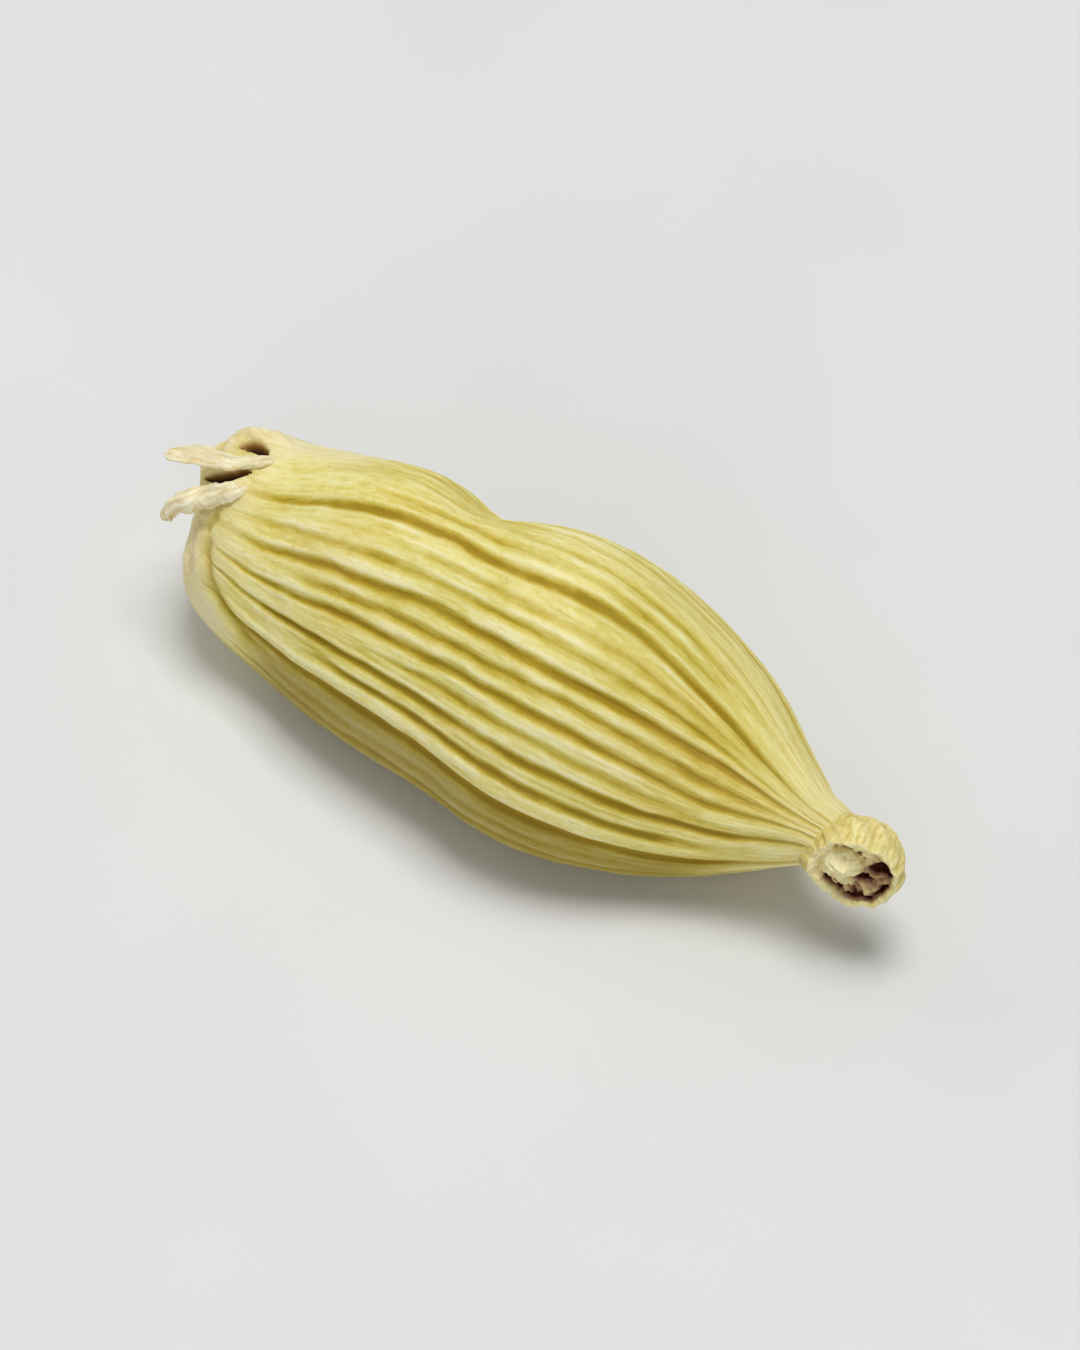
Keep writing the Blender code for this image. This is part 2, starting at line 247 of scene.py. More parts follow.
def relief(x, w, phi):
    """Height of the skin over its mean, how deep in a groove each point is, and its streaks."""
    w = w + 0.10 * layers(x / 2.4, w / 3.5, 12, 11, 2) + 0.045 * layers(x / 0.75, w / 1.75, 24, 12, 2)
    high = 0.045 + 0.0 * x
    grooves, shoulders = 0.0 * x, 0.0 * x
    for n, (place, depth, width, start, stop) in enumerate(GROOVES):
        wander = 0.07 * noise(x / 1.9, 0 * x + 0.5, 999, 50 + n) + 0.04 * noise(x / 0.6, 0 * x + 0.5, 999, 150 + n)
        strength = 1.0 + 0.28 * noise(x / 1.7, 0 * x + 0.5, 999, 250 + n) + 0.14 * noise(x / 0.45, 0 * x + 0.5, 999, 350 + n)
        run = smooth(start - 0.9, start + 0.9, x) * (1.0 - smooth(stop - 1.1, stop + 1.1, x))
        run = run * (1.0 - 0.42 * smooth(4.4, 7.2, x)) * (0.36 + 0.64 * smooth(-8.8, -5.6, x))
        offset = wrapped(w - place - wander)
        d = abs(offset) / (width * (1.0 + 0.5 * smooth(3.4, 7.2, x)))
        high = high - 0.66 * depth * strength * run * np.exp(-((d / 1.10) ** 1.2))
        # Shoulders beside each groove: a slight rise, and through the crest a lighter colour that is partly painted
        # highlight.
        shoulder = (0.75 + 0.35 * noise(x / 1.3, 0 * x + 0.5, 999, 450 + n)) * np.exp(-(((offset - 0.42) / 0.13) ** 2))
        shoulder = shoulder + (0.60 + 0.35 * noise(x / 1.3, 0 * x + 0.5, 999, 550 + n)) * np.exp(-(((offset + 0.40) / 0.13) ** 2))
        shoulders = np.maximum(shoulders, np.clip(depth / 0.12, 0.3, 1.2) * run * shoulder)
        grooves = np.maximum(grooves, np.clip(depth / 0.13, 0, 1.25) * run * strength * np.exp(-((d / 1.05) ** 1.6)))
    # The brightest rib stands proud along the edge over the deepest groove.
    high = high + 0.050 * np.exp(-((wrapped(w - 0.20) / 0.40) ** 2)) * smooth(-8.6, -6.5, x) * (1 - smooth(5.0, 7.2, x))
    high = high + 0.022 * shoulders
    # Finer streaks between the grooves, wrinkles across them, and soft lumps.
    fine = layers(x / 1.5, w * 2.0, 84, 21, 3)
    finer = layers(x / 0.7, w * 4.0, 168, 22, 2)
    cross = layers(x / 0.26, w / 1.2, 35, 23, 3)
    soft = smooth(-9.3, -8.0, x) * (0.55 + 0.45 * smooth(-8.4, -6.0, x)) * (1.0 - 0.35 * smooth(4.6, 7.4, x))
    ends = smooth(-9.35, -8.1, x)
    high = high + soft * (0.024 * fine + 0.010 * finer + 0.011 * cross)
    lumps = layers(x / 2.6, w / 4.2, 10, 25, 2)
    under = 0.5 + 0.5 * np.cos(phi + math.pi / 2)
    level = 1.0 - smooth(0.90, 0.985, under) * (1.0 - smooth(3.0, 5.0, abs(x + 1.0)))
    total = (high * ends + 0.030 * lumps * smooth(-9.3, -8.0, x) * (1 - smooth(5.0, 7.0, x))) * level
    streak = 0.5 + 0.5 * np.clip(0.9 * fine + 0.6 * finer, -1, 1)
    return total, np.clip(grooves, 0, 1.25) * level * ends, streak, shoulders * ends


# ---- mesh helpers ----------------------------------------------------------------------------
def make_mesh(name, points, faces, attributes, material):
    """A mesh object from points in millimetres, quads or triangles, and point attributes."""
    mesh = bpy.data.meshes.new(name)
    mesh.vertices.add(len(points))
    mesh.vertices.foreach_set("co", (np.asarray(points, np.float64) * MM).astype(np.float32).ravel())
    loops = np.concatenate([np.asarray(f, np.int32).ravel() for f in faces])
    sizes = np.concatenate([np.full(len(f), np.shape(f)[1], np.int32) for f in faces])
    mesh.loops.add(len(loops))
    mesh.loops.foreach_set("vertex_index", loops)
    mesh.polygons.add(len(sizes))
    mesh.polygons.foreach_set("loop_start", np.concatenate([[0], np.cumsum(sizes)[:-1]]).astype(np.int32))
    mesh.update(calc_edges=True)
    mesh.validate()
    for key, values in attributes.items():
        values = np.asarray(values, np.float32)
        kind = "FLOAT" if values.ndim == 1 else "FLOAT_VECTOR"
        mesh.attributes.new(key, kind, "POINT").data.foreach_set(
            "value" if values.ndim == 1 else "vector", values.ravel()
        )
    mesh.polygons.foreach_set("use_smooth", np.ones(len(mesh.polygons), bool))
    mesh.materials.append(material)
    obj = bpy.data.objects.new(name, mesh)
    bpy.context.scene.collection.objects.link(obj)
    return obj


def grid_faces(rows, columns, closed, offset=0):
    """Quads of a grid whose columns join round if closed."""
    r = np.arange(rows - 1)[:, None]
    c = np.arange(columns if closed else columns - 1)[None, :]
    n = (c + 1) % columns
    a, b = r * columns + c, r * columns + n
    return offset + np.stack([a, b, b + columns, a + columns], -1).reshape(-1, 4)


def grid_normals(p):
    """Normals of a grid of points, its columns closed."""
    dv = np.roll(p, -1, 1) - np.roll(p, 1, 1)
    du = np.gradient(p, axis=0)
    n = np.cross(dv, du)
    return n / np.maximum(np.linalg.norm(n, axis=-1, keepdims=True), 1e-12)


# ---- materials -------------------------------------------------------------------------------
def linear(r, g, b):
    return tuple((c / 255 / 12.92) if c / 255 <= 0.04045 else ((c / 255 + 0.055) / 1.055) ** 2.4 for c in (r, g, b)) + (1.0,)


class Nodes:
    """A small builder for a node material."""

    def __init__(self, name):
        self.material = bpy.data.materials.new(name)
        self.material.use_nodes = True
        self.tree = self.material.node_tree
        self.shader = self.tree.nodes["Principled BSDF"]

    def add(self, kind, **values):
        node = self.tree.nodes.new(kind)
        for key, value in values.items():
            setattr(node, key, value)
        return node

    def link(self, a, b):
        self.tree.links.new(a, b)

    def attribute(self, name):
        return self.add("ShaderNodeAttribute", attribute_type="GEOMETRY", attribute_name=name)

    def noise(self, vector, scale, detail=3.0, roughness=0.55, stretch=None):
        if stretch is not None:
            times = self.add("ShaderNodeVectorMath", operation="MULTIPLY")
            self.link(vector, times.inputs[0])
            times.inputs[1].default_value = stretch
            vector = times.outputs[0]
        node = self.add("ShaderNodeTexNoise")
        self.link(vector, node.inputs["Vector"])
        node.inputs["Scale"].default_value = scale
        node.inputs["Detail"].default_value = detail
        node.inputs["Roughness"].default_value = roughness
        return node.outputs["Fac"]

    def math(self, operation, a, b=None, c=None, clamp=False):
        node = self.add("ShaderNodeMath", operation=operation, use_clamp=clamp)
        for slot, value in zip(node.inputs, (a, b, c)):
            if value is None:
                continue
            if isinstance(value, (int, float)):
                slot.default_value = value
            else:
                self.link(value, slot)
        return node.outputs[0]

    def remap(self, value, low, high, to_low=0.0, to_high=1.0):
        node = self.add("ShaderNodeMapRange", clamp=True, interpolation_type="SMOOTHSTEP")
        self.link(value, node.inputs["Value"])
        for key, number in zip(("From Min", "From Max", "To Min", "To Max"), (low, high, to_low, to_high)):
            node.inputs[key].default_value = number
        return node.outputs["Result"]

    def ramp(self, value, stops):
        node = self.add("ShaderNodeValToRGB")
        node.color_ramp.interpolation = "EASE"
        first, last = node.color_ramp.elements
        first.position, first.color = stops[0]
        last.position, last.color = stops[-1]
        for position, colour in stops[1:-1]:
            node.color_ramp.elements.new(position).color = colour
        self.link(value, node.inputs["Fac"])
        return node.outputs["Color"]

    def mix(self, factor, a, b, blend="MIX"):
        node = self.add("ShaderNodeMix", data_type="RGBA", blend_type=blend)
        if isinstance(factor, (int, float)):
            node.inputs["Factor"].default_value = factor
        else:
            self.link(factor, node.inputs["Factor"])
        for slot, value in ((node.inputs[6], a), (node.inputs[7], b)):
            if isinstance(value, tuple):
                slot.default_value = value
            else:
                self.link(value, slot)
        return node.outputs[2]

    def bump(self, height, distance, strength, normal=None):
        node = self.add("ShaderNodeBump")
        self.link(height, node.inputs["Height"])
        node.inputs["Distance"].default_value = distance
        node.inputs["Strength"].default_value = strength
        if normal is not None:
            self.link(normal, node.inputs["Normal"])
        return node.outputs["Normal"]

    def finish(self, colour, roughness, normal, specular=0.20):
        self.link(colour, self.shader.inputs["Base Color"])
        self.link(roughness, self.shader.inputs["Roughness"])
        self.link(normal, self.shader.inputs["Normal"])
        self.shader.inputs["Specular IOR Level"].default_value = specular
        return self.material


def husk_material():
    """Dry ribbed husk: cream on the crests, ochre green in the grooves, beige at the ends; the crests also carry
    painted highlight, the grooves and the underside painted shade.
    """
    m = Nodes("husk_dry_ribbed")
    fibre = m.attribute("fibre").outputs["Vector"]
    depth = m.attribute("groove").outputs["Fac"]
    high = m.attribute("crest").outputs["Fac"]
    pale = m.attribute("pale").outputs["Fac"]
    rosy = m.attribute("rosy").outputs["Fac"]
    dark = m.attribute("dark").outputs["Fac"]
    streak = m.noise(fibre, 1.0, 4.0, 0.6, (0.55, 30.0, 30.0))
    fleck = m.noise(fibre, 1.0, 3.0, 0.6, (3.4, 34.0, 34.0))
    patch = m.noise(fibre, 1.0, 3.0, 0.5, (0.32, 2.4, 2.4))
    # Height on the ribs, shaken by the streaks, gives the main colour; lighter on the crests and darker in the grooves,
    # it is partly painted highlight and painted shade.
    level = m.math("SUBTRACT", high, m.math("MULTIPLY", depth, 0.42))
    level = m.math("ADD", level, m.math("MULTIPLY_ADD", streak, 0.44, -0.21))
    level = m.math("ADD", level, m.math("MULTIPLY_ADD", fleck, 0.60, -0.29))
    base = m.ramp(
        level,
        [
            (0.00, linear(152, 122, 10)),
            (0.20, linear(182, 155, 32)),
            (0.42, linear(212, 192, 80)),
            (0.62, linear(229, 213, 118)),
            (0.82, linear(242, 231, 152)),
            (1.00, linear(251, 244, 188)),
        ],
    )
    # Ochre in the grooves: partly the husk's own colour, partly painted shade.
    base = m.mix(m.math("MULTIPLY", depth, 0.55, clamp=True), base, linear(166, 134, 8))
    greenish = m.remap(patch, 0.42, 0.62)
    base = m.mix(m.math("MULTIPLY", greenish, 0.16), base, linear(196, 186, 86))
    straw = m.remap(patch, 0.56, 0.34)
    base = m.mix(m.math("MULTIPLY", straw, 0.16), base, linear(222, 190, 104))
    faded = m.ramp(m.math("ADD", level, 0.15), [(0.0, linear(190, 162, 84)), (0.5, linear(228, 209, 138)), (1.0, linear(248, 238, 196))])
    base = m.mix(m.math("MULTIPLY", pale, 0.75), base, faded)
    skin_end = m.ramp(m.math("MULTIPLY_ADD", streak, 1.7, -0.35), [(0.0, linear(222, 200, 146)), (0.5, linear(241, 226, 180)), (1.0, linear(255, 248, 214))])
    base = m.mix(rosy, base, skin_end)
    # Small tan scuffs.
    spots = m.remap(m.noise(fibre, 1.0, 2.0, 0.5, (2.6, 22.0, 22.0)), 0.66, 0.78)
    base = m.mix(m.math("MULTIPLY", spots, 0.30), base, linear(178, 134, 60))
    # Painted shade: the underside below the deepest groove is darkened to olive brown.
    base = m.mix(m.math("MULTIPLY", m.attribute("painted_underside_shade").outputs["Fac"], 0.66), base, linear(146, 122, 38))
    # Brown in the torn slots, near black where deepest: the scars' own brown with painted shade in the slots.
    base = m.mix(m.remap(dark, 0.05, 0.50), base, linear(150, 104, 40))
    base = m.mix(m.remap(dark, 0.35, 0.85), base, linear(56, 26, 6))
    rough = m.remap(streak, 0.3, 0.7, 0.54, 0.70)
    fine = m.noise(fibre, 1.0, 3.0, 0.6, (1.1, 95.0, 95.0))
    pores = m.noise(fibre, 1.0, 2.0, 0.5, (9.0, 60.0, 60.0))
    normal = m.bump(m.math("MULTIPLY_ADD", pores, 0.5, fine), 0.000030, 0.55)
    return m.finish(base, rough, normal)


def paper_material(name, cream, shade, tan, brown):
    """Dry papery skin: cream, with ochre streaks along it and hollows that turn tan to brown, partly their own brown
    and partly painted shade deeper in.
    """
    m = Nodes(name)
    fibre = m.attribute("fibre").outputs["Vector"]
    hollow = m.attribute("hollow").outputs["Fac"]
    streak = m.noise(fibre, 1.0, 4.0, 0.6, (2.2, 9.0, 9.0))
    fleck = m.noise(fibre, 1.0, 3.0, 0.6, (9.0, 16.0, 16.0))
    level = m.math("ADD", m.math("MULTIPLY_ADD", streak, 1.8, -0.40), m.math("MULTIPLY_ADD", fleck, 0.5, -0.25))
    base = m.ramp(level, [(0.15, shade), (0.50, tuple((a + b) / 2 for a, b in zip(cream, shade))), (0.85, cream)])
    # Whiter on the pith and the rim's top: partly their own cream, partly painted light where the hollow lies in shade.
    base = m.mix(m.math("MULTIPLY", m.attribute("pith").outputs["Fac"], 0.62), base, linear(255, 247, 206))
    # Tan to dark brown by the hollow mask: the hollow's own brown with painted shade deeper in.
    base = m.mix(m.remap(hollow, 0.0, 0.5), base, m.ramp(hollow, [(0.0, tan), (0.45, tuple((a + b) / 2 for a, b in zip(tan, brown))), (0.85, brown)]))
    base = m.mix(m.math("MULTIPLY", m.attribute("seam").outputs["Fac"], 0.62, clamp=True), base, linear(192, 164, 62))
    rough = m.remap(fleck, 0.3, 0.7, 0.55, 0.70)
    fine = m.noise(fibre, 1.0, 3.0, 0.6, (5.0, 40.0, 40.0))
    return m.finish(base, rough, m.bump(fine, 0.000030, 0.5))


husk = husk_material()
paper = paper_material("husk_papery_tag", linear(255, 252, 222), linear(230, 208, 154), linear(238, 216, 150), linear(216, 188, 116))
collar = paper_material("husk_collar", linear(255, 248, 184), linear(218, 194, 104), linear(214, 168, 128), linear(70, 20, 4))

# ---- the husk --------------------------------------------------------------------------------
COLUMNS = 520
steps = np.concatenate(
    [END_X + END_LENGTH * (1 - np.cos(np.linspace(0, math.pi / 2, 400))), np.linspace(END_X + END_LENGTH, NECK_X, 2000)[1:], NECK_X + TIP_LENGTH * np.sin(np.linspace(0, math.pi / 2, 200))[1:]]
)
run = np.concatenate([[0], np.cumsum(np.hypot(np.diff(steps), np.diff(half_width(steps))) * (1.0 + 1.4 * (1 - smooth(-8.9, -7.6, steps[1:]))))])
ROWS = 190
rings = np.interp(np.linspace(0, run[-1], ROWS + 1), run, steps)[1:-1]
X, V = np.meshgrid(rings, np.arange(COLUMNS) * RIBS / COLUMNS, indexing="ij")
base, phi = body_point(X, V)
normals = grid_normals(base)
if np.mean(np.sum(normals * (base - (axis_point(X) + SHIFT)), -1)) < 0:
    normals = -normals
rib = rib_place(X, V)
height, groove, streak, shoulders = relief(X, rib, phi)
across = base - (axis_point(X) + SHIFT)
cap = smooth(-8.5, -9.25, X)
puckers = layers((across @ WIDE) / 0.55 + 9, (across @ OUT) / 0.55 + 9, 999, 61, 3)
puckers = puckers + 0.5 * layers((across @ WIDE) / 1.3 + 19, (across @ OUT) / 0.28 + 19, 999, 67, 2)
skin = base + normals * (height + 0.085 * cap * puckers)[..., None]

# Places on the blunt end, as seen square on: a along the outline and w across it.
pole = END_MARK + SHIFT
rel = base - pole
A, W, T = rel @ ALONG, rel @ WIDE, rel @ TOWARDS
square_on = normals @ TOWARDS
facing = smooth(-0.15, 0.35, square_on)


def near_path(points, a, w):
    """Distance from a path drawn on the outline, and the place along it, 0 to 1."""
    best, where = np.full(a.shape, 1e9), np.zeros(a.shape)
    total = len(points) - 1
    for k in range(total):
        p, q = np.array(points[k]), np.array(points[k + 1])
        d = q - p
        t = np.clip(((a - p[0]) * d[0] + (w - p[1]) * d[1]) / (d @ d), 0, 1)
        dist = np.hypot(a - p[0] - t * d[0], w - p[1] - t * d[1])
        closer = dist < best
        best, where = np.where(closer, dist, best), np.where(closer, (k + t) / total, where)
    return best, where


def on_skin(a, w, over=0.0):
    """A point at a height over the skin's place (a, w)."""
    local = skin - pole
    near = np.where(square_on > 0.05, (local @ ALONG - a) ** 2 + (local @ WIDE - w) ** 2, 1e9)
    return near_end(a, w, (local @ TOWARDS)[np.unravel_index(np.argmin(near), near.shape)] + over)


def skin_at(a, w):
    """The skin's own point nearest to the place (a, w)."""
    local = skin - pole
    near = np.where(square_on > 0.0, (local @ ALONG - a) ** 2 + (local @ WIDE - w) ** 2, 1e9)
    return skin[np.unravel_index(np.argmin(near), near.shape)]


def near_line(places):
    """Distance in space from a line over the skin's places, and the place along it, 0 to 1."""
    points = [skin_at(a, w) for a, w in places]
    best, where = np.full(skin.shape[:2], 1e9), np.zeros(skin.shape[:2])
    for k in range(len(points) - 1):
        d = points[k + 1] - points[k]
        t = np.clip((skin - points[k]) @ d / max(d @ d, 1e-9), 0, 1)
        dist = np.linalg.norm(skin - points[k] - t[..., None] * d, axis=-1)
        closer = dist < best
        best, where = np.where(closer, dist, best), np.where(closer, (k + t) / (len(points) - 1), where)
    return best, where


def tag_path(foot, free, free_up):
    """Points of a tag and their up directions: over the skin's places, then past the last."""
    points, ups = [], []
    for a, w, over in foot:
        near = np.where(square_on > 0.05, (A - a) ** 2 + (W - w) ** 2, 1e9)
        points.append(on_skin(a, w, over))
        ups.append(normals[np.unravel_index(np.argmin(near), near.shape)])
    root = points[-1]
    for a, w, t in free:
        points.append(root + ALONG * a + WIDE * w + TOWARDS * t)
        ups.append(free_up / np.linalg.norm(free_up))
    return points, ups


# The smooth pale band round the lower edge of the blunt end, and the pale upper edge.
distance, where = near_path([(-0.46, -0.05), (-0.32, -0.42), (-0.12, -0.85), (0.20, -1.32), (0.60, -1.72), (1.20, -2.06), (1.90, -2.34)], A, W)
band = np.exp(-((distance / 0.26) ** 4)) * facing * (1 - smooth(0.80, 1.0, where))
edge_distance, where = near_path([(-0.48, 1.75), (-0.25, 2.15), (0.28, 2.45), (1.10, 2.66), (2.20, 2.90), (3.20, 3.15)], A, W)
edge = np.exp(-((edge_distance / 0.34) ** 2)) * smooth(-0.35, 0.1, square_on) * (1 - smooth(0.72, 1.0, where))
smoothed = np.clip(band + 0.7 * edge, 0, 1)
skin = skin + normals * (0.070 * band - (height * 0.80) * smoothed)[..., None]

# The tip of the end stands out to the side of the tags, and a groove runs inside the band.
tip_distance = np.sqrt(((A + 0.05) / 0.75) ** 2 + ((W - 1.22) / 0.90) ** 2 + ((T - 0.9) / 1.3) ** 2)
skin = skin + (np.exp(-(tip_distance**2.2)) * 0.68)[..., None] * (WIDE * 0.16 - ALONG * 0.98)
distance, where = near_path([(0.12, -0.16), (0.26, -0.66), (0.62, -1.14), (1.16, -1.55), (1.95, -1.90), (2.80, -2.16)], A, W)
fold = np.exp(-((distance / 0.085) ** 1.6)) * facing * smooth(0.0, 0.12, where) * (1 - smooth(0.75, 1.0, where))
skin = skin - normals * (0.075 * fold)[..., None]
groove = np.maximum(groove, fold)

# A knob and a brown nick beside the lip's foot.
skin = skin + normals * (0.085 * np.exp(-(((A + 0.17) / 0.15) ** 2) - ((W - 0.05) / 0.13) ** 2) * facing)[..., None]
distance, where = near_path([(0.08, 0.14), (0.03, 0.00), (0.04, -0.16)], A, W)
nick = np.exp(-((distance / 0.09) ** 2)) * facing
skin = skin - normals * (0.07 * nick)[..., None]

# A papery arch round the upper scar, and folds that the two tags rise from.
corner = np.exp(-((np.linalg.norm(skin - skin_at(0.12, 2.24), axis=-1) / 0.60) ** 2))
skin = skin + (0.42 * corner)[..., None] * (WIDE * 0.32 - ALONG * 0.94)
distance, where = near_line([(0.95, 2.46), (0.56, 2.44), (0.22, 2.38), (-0.10, 2.27), (-0.32, 2.06), (-0.42, 1.80), (-0.40, 1.50)])
arch = np.exp(-((distance / 0.135) ** 2)) * smooth(0.0, 0.22, where) * (1 - smooth(0.90, 1.0, where))
distance, where = near_line([(0.86, 2.02), (0.48, 1.84), (0.10, 1.60), (-0.18, 1.46)])
flap_fold = np.exp(-((distance / 0.15) ** 2)) * smooth(0.0, 0.3, where) * (1 - smooth(0.7, 1.0, where))
distance, where = near_line([(0.52, 1.22), (0.20, 0.94), (-0.12, 0.66), (-0.40, 0.44)])
lip_fold = np.exp(-((distance / 0.20) ** 2)) * smooth(0.0, 0.35, where)
local = skin - pole
A, W = local @ ALONG, local @ WIDE
creases = 1.0 + 0.30 * noise(X / 0.16 + 99, V / 0.55, 999, 71)
skin = skin + normals * ((0.19 * arch + 0.11 * flap_fold + 0.14 * lip_fold) * creases)[..., None]
papery = np.clip(arch + 0.7 * flap_fold + 0.8 * lip_fold, 0, 1)

flap_path = tag_path(
    [(0.80, 1.98, -0.34), (0.50, 1.84, -0.02), (0.16, 1.62, 0.05)],
    [(-0.42, -0.20, -0.08), (-0.95, -0.36, -0.32), (-1.46, -0.54, -0.58), (-1.82, -0.68, -0.74)],
    TOWARDS - ALONG * 0.35 + WIDE * 0.25,
)
lip_path = tag_path(
    [(0.42, 1.16, -0.34), (0.18, 0.94, -0.05), (-0.10, 0.70, 0.03), (-0.38, 0.46, 0.04)],
    [(-0.32, -0.26, -0.16), (-0.58, -0.52, -0.40), (-0.64, -0.74, -0.58), (-0.52, -0.86, -0.68)],
    TOWARDS - ALONG * 0.45,
)

# The scars: two torn slots under the tags, each shallower towards its ends.
groove = np.maximum(groove, nick)
dark = 0.0 * nick
for n, (places, width, deep) in enumerate((
    ([(-0.24, 1.84), (-0.14, 1.95), (0.02, 2.02), (0.20, 2.03), (0.40, 1.98)], 0.155, 0.34),
    ([(-0.66, 0.84), (-0.42, 0.98), (-0.20, 1.16), (0.08, 1.36), (0.26, 1.46)], 0.135, 0.40),
)):
    distance, where = near_line(places)
    ends = np.sqrt(np.clip(4.0 * where * (1.0 - where), 0.05, 1.0))
    ring = distance / (width * ends) * (1.0 + 0.13 * noise(X / 0.13 + 99, V / 0.45, 999, 73 + n))
    pit = np.exp(-(ring**2.6))
    skin = skin - normals * (deep * ends * pit)[..., None]
    # The slot's darkening: the scars' own brown with painted shade, strongest deep and mid-slot.
    dark = np.maximum(dark, pit * (0.45 + 0.55 * ends))

skin[..., 2] = np.maximum(skin[..., 2], 0.0)

pale = np.clip(0.9 * edge + 0.8 * arch + 0.55 * smooth(-7.6, -8.8, X) + 0.4 * smooth(-8.8, -9.4, X) + 0.30 * smooth(5.2, 7.2, X) + 0.2 * smooth(6.8, 7.6, X), 0, 1)
angle = 2 * math.pi * rib / RIBS
# Lighter with height, along the groove shoulders and on the cap's puckers: partly the husk's paler crests, partly
# painted highlight.
crest = 0.54 + 0.26 * height / 0.06 + (0.28 * (streak - 0.5) + 0.24 * shoulders) * smooth(-9.3, -8.3, X)
crest = np.clip(crest + 0.55 * cap * puckers, 0, 1)
girth = np.minimum(1.0, half_width(X) / half_width(-8.5))
girth = np.where(X < -8.5, girth, 1.0)
fibre = np.stack([X, girth * np.cos(angle), girth * np.sin(angle)], -1)


def with_poles(grid, first, last):
    flat = grid.reshape(-1, *grid.shape[2:])
    return np.concatenate([np.asarray(first)[None], flat, np.asarray(last)[None]])


last_point = axis_point(NECK_X + TIP_LENGTH) + SHIFT
first_point = skin[0].mean(0)
points = with_poles(skin, first_point, last_point)
count = len(points)
ring = np.arange(COLUMNS)
faces = [
    grid_faces(ROWS - 1, COLUMNS, True, 1),
    np.stack([np.zeros(COLUMNS, int), (ring + 1) % COLUMNS + 1, ring + 1], -1),
    np.stack([np.full(COLUMNS, count - 1), ring + count - 1 - COLUMNS, (ring + 1) % COLUMNS + count - 1 - COLUMNS], -1),
]


def outward(points, faces):
    """The faces, turned so that the closed mesh's volume is positive."""
    volume = 0.0
    for f in faces:
        f = np.asarray(f)
        for k in range(1, f.shape[1] - 1):
            volume += np.einsum("ij,ij->i", points[f[:, 0]], np.cross(points[f[:, k]], points[f[:, k + 1]])).sum()
    return faces if volume > 0 else [np.asarray(f)[:, ::-1] for f in faces]


def as_attribute(grid):
    return with_poles(grid, grid[0].mean(0), grid[-1].mean(0))


pod = make_mesh(
    "pod_skin",
    points,
    outward(points, faces),
    {
        "groove": as_attribute(groove * (1 - band) * (1 - papery)),
        "crest": as_attribute(crest),
        "pale": as_attribute(pale),
        "rosy": as_attribute(np.clip(0.85 * band * (1.0 + 0.5 * layers(X / 0.5, V / 0.9, 999, 81, 2)) + 0.90 * papery, 0, 1)),
        "dark": as_attribute(dark),
        # Painted shade on the underside below the deepest groove.
        "painted_underside_shade": as_attribute(smooth(-0.5, -1.0, wrapped(rib)) * smooth(-7.0, -5.0, wrapped(rib)) * smooth(-7.5, -5.5, X) * smooth(6.5, 4.5, X)),
        "fibre": as_attribute(fibre),
    },
    husk,
)

# ---- the collar ------------------------------------------------------------------------------
face = np.array((math.cos(CUP_FACE), 0.0, 0.0)) + LEAN * math.sin(CUP_FACE)
side = np.cross(ALONG, face)
side /= np.linalg.norm(side)
cup_axes = np.stack([np.cross(side, face), side, face])
cup_centre = axis_point(NECK_X) + SHIFT + np.array((CUP_PLACE[0], 0, 0)) + LEAN * CUP_PLACE[1]

# Lumps and pits of the pith in the hollow: place in the mouth's plane, radii, turn, height.
PITH = [
    (0.42, -0.02, 0.36, 0.25, -0.10, 0.33),
    (0.16, -0.16, 0.16, 0.11, 0.50, 0.10),
    (0.24, 0.22, 0.24, 0.17, 0.40, 0.14),
    (0.66, 0.36, 0.22, 0.18, 0.6, 0.06),
    (-0.10, -0.72, 0.52, 0.13, 0.05, 0.09),
    (-0.40, -0.12, 0.20, 0.10, 0.5, 0.09),
    (-0.42, 0.34, 0.17, 0.12, 0.9, 0.08),
    (0.16, 0.40, 0.20, 0.12, -0.5, 0.05),
    (-0.52, -0.43, 0.31, 0.14, 0.37, -0.30),
    (-0.13, 0.12, 0.25, 0.11, 0.80, -0.28),
    (-0.78, 0.12, 0.30, 0.11, 1.10, -0.24),
    (-0.52, 0.60, 0.17, 0.09, -0.75, -0.20),
    (0.50, 0.66, 0.14, 0.09, 0.5, -0.17),
    (0.22, 0.76, 0.13, 0.08, 0.1, -0.20),
    (-0.12, 0.78, 0.15, 0.08, -0.2, -0.19),
    (0.62, -0.40, 0.22, 0.075, 0.60, -0.09),
    (0.26, -0.49, 0.22, 0.070, -0.12, -0.10),
]


# The way to the neck from the collar's centre, in its own axes, and two directions square to
# the line from there to the mouth.
NECK_WAY = cup_axes @ (axis_point(NECK_X - 0.4) + SHIFT - cup_centre)
NECK_WAY /= np.linalg.norm(NECK_WAY)
chord = np.array((0.0, 0.0, 1.0)) - NECK_WAY
chord /= np.linalg.norm(chord)
first = np.cross(chord, NECK_WAY)
first /= np.linalg.norm(first)
BEND_AXES = (first, np.cross(chord, first))


rng = np.random.default_rng(5101)
FOLDS = [
    (2 * math.pi * (k + rng.uniform(-0.28, 0.28)) / 19, rng.uniform(0.45, 1.0), rng.uniform(0.075, 0.115), rng.uniform(0, 50))
    for k in range(19)
]


